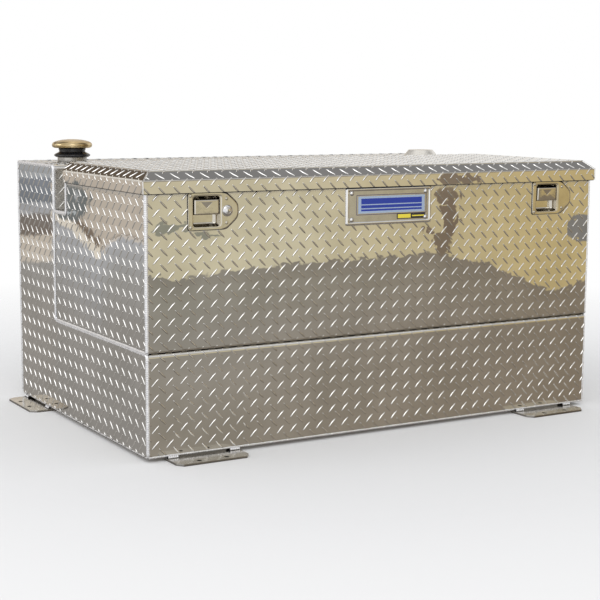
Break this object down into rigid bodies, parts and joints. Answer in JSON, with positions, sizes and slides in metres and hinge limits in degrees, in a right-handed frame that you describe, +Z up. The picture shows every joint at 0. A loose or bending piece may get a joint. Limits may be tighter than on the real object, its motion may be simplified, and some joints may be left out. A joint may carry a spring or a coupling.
{
  "type": "truck bed transfer tank with toolbox",
  "caption": "L-shaped tread plate fuel tank for a truck bed, with a filler cap on its riser and a lidded toolbox with paddle latches on its shelf.",
  "frame": {"origin": "on the ground, under the middle of the whole object with its feet", "axes": "+X along the tank to the right, +Y from the toolbox's front to the riser's back, +Z up"},
  "size_m": [1.3212, 0.852, 0.6706],
  "materials": {
    "tread_plate": "bright rolled tread plate",
    "plain_aluminium": "plain mill finish",
    "weld_metal": "rippled weld bead",
    "black_neck": "moulded black",
    "gold_cap": "satin gold plated",
    "black_rubber": "black rubber",
    "lid_core": "rigid foam core",
    "stainless": "polished stainless",
    "zinc_steel": "zinc plated",
    "strut_black": "black enamel",
    "bright_rod": "ground and plated",
    "lock_metal": "nickel plated"
  },
  "bodies": {
    "tank": {"tank_front_skin": "tread_plate", "tank_back_skin": "tread_plate", "tank_end_left": "tread_plate", "tank_end_right": "tread_plate", "tank_baffle_left": "plain_aluminium", "tank_baffle_right": "plain_aluminium", "tank_weld_bead": "weld_metal", "foot_front_left": "plain_aluminium", "foot_front_right": "plain_aluminium", "foot_side_left": "plain_aluminium", "foot_side_right": "plain_aluminium", "foot_pads": "plain_aluminium", "filler_bung": "plain_aluminium", "filler_neck": "black_neck", "pump_port": "plain_aluminium", "pump_port_plug": "plain_aluminium", "box_body": "tread_plate", "box_end_left": "tread_plate", "box_end_right": "tread_plate", "box_weld_bead": "weld_metal", "join_weld_bead": "weld_metal", "lid_seal": "black_rubber", "hinge_box_leaf": "stainless", "hinge_pin": "stainless", "hinge_box_rivets": "stainless", "strut_box_bracket_left": "zinc_steel", "strut_box_bracket_right": "zinc_steel", "latch_pan_left": "stainless", "latch_pan_right": "stainless", "latch_pins": "stainless", "latch_rivets": "stainless", "lock_barrel": "lock_metal", "name_plate": "plain_aluminium", "name_plate_rivets": "stainless"},
    "lid": {"lid_pan": "tread_plate", "lid_foam": "lid_core", "lid_liner": "plain_aluminium", "hinge_lid_leaf": "stainless", "hinge_lid_rivets": "stainless", "striker_left": "zinc_steel", "striker_right": "zinc_steel", "strut_lid_bracket_left": "zinc_steel", "strut_lid_bracket_right": "zinc_steel", "lid_bracket_rivets": "stainless"},
    "filler_gasket": {"filler_gasket": "black_rubber"},
    "filler_cap": {"filler_cap": "gold_cap"},
    "strut_tube_left": {"strut_tube_left": "strut_black"},
    "strut_tube_right": {"strut_tube_right": "strut_black"},
    "strut_rod_left": {"strut_rod_left": "bright_rod"},
    "strut_rod_right": {"strut_rod_right": "bright_rod"},
    "latch_paddle_left": {"latch_paddle_left": "stainless"},
    "latch_paddle_right": {"latch_paddle_right": "stainless"},
    "latch_hook_left": {"latch_hook_left": "zinc_steel"},
    "latch_hook_right": {"latch_hook_right": "zinc_steel"},
    "lock_plug": {"lock_plug": "lock_metal"}
  },
  "joints": [
    {"name": "lid_hinge", "type": "hinge", "parent": "tank", "child": "lid", "pos_m": [0, 0.096, 0.603], "axis": [-1, 0, 0], "range_deg": [0, 70]},
    {"name": "strut_left_turn", "type": "hinge", "parent": "tank", "child": "strut_tube_left", "pos_m": [-0.5771, 0.081, 0.5], "axis": [-1, 0, 0], "range_deg": [0, 49.92]},
    {"name": "strut_left_extend", "type": "slide", "parent": "strut_tube_left", "child": "strut_rod_left", "axis": [0, -0.9019, 0.432], "range_m": [0, 0.08977]},
    {"name": "strut_right_turn", "type": "hinge", "parent": "tank", "child": "strut_tube_right", "pos_m": [0.5771, 0.081, 0.5], "axis": [-1, 0, 0], "range_deg": [0, 49.92]},
    {"name": "strut_right_extend", "type": "slide", "parent": "strut_tube_right", "child": "strut_rod_right", "axis": [0, -0.9019, 0.432], "range_m": [0, 0.08977]},
    {"name": "latch_left_pull", "type": "hinge", "parent": "tank", "child": "latch_paddle_left", "pos_m": [-0.4681, -0.3595, 0.5574], "axis": [-1, 0, 0], "range_deg": [0, 30], "stiffness_Nm_per_rad": 0.15},
    {"name": "latch_left_catch", "type": "hinge", "parent": "tank", "child": "latch_hook_left", "pos_m": [-0.4681, -0.34, 0.5304], "axis": [-1, 0, 0], "range_deg": [-14, 0]},
    {"name": "latch_right_pull", "type": "hinge", "parent": "tank", "child": "latch_paddle_right", "pos_m": [0.4679, -0.3595, 0.5574], "axis": [-1, 0, 0], "range_deg": [0, 30], "stiffness_Nm_per_rad": 0.15},
    {"name": "latch_right_catch", "type": "hinge", "parent": "tank", "child": "latch_hook_right", "pos_m": [0.4679, -0.34, 0.5304], "axis": [-1, 0, 0], "range_deg": [-14, 0]},
    {"name": "lock_turn", "type": "hinge", "parent": "tank", "child": "lock_plug", "pos_m": [-0.4181, -0.364, 0.536], "axis": [0, 1, 0], "range_deg": [0, 90]},
    {"name": "cap_lift", "type": "slide", "parent": "tank", "child": "filler_gasket", "axis": [0, 0, 1], "range_m": [0, 0.08]},
    {"name": "cap_turn", "type": "hinge", "parent": "filler_gasket", "child": "filler_cap", "pos_m": [-0.5106, 0.2995, 0.65], "axis": [0, 0, 1], "range_deg": [0, 360]}
  ],
  "couplings": [
    {"joint": "strut_left_turn", "follows": "lid_hinge", "ratio": 0.71283},
    {"joint": "strut_left_extend", "follows": "lid_hinge", "m_per_rad": 0.07346},
    {"joint": "strut_right_turn", "follows": "lid_hinge", "ratio": 0.71283},
    {"joint": "strut_right_extend", "follows": "lid_hinge", "m_per_rad": 0.07346}
  ]
}
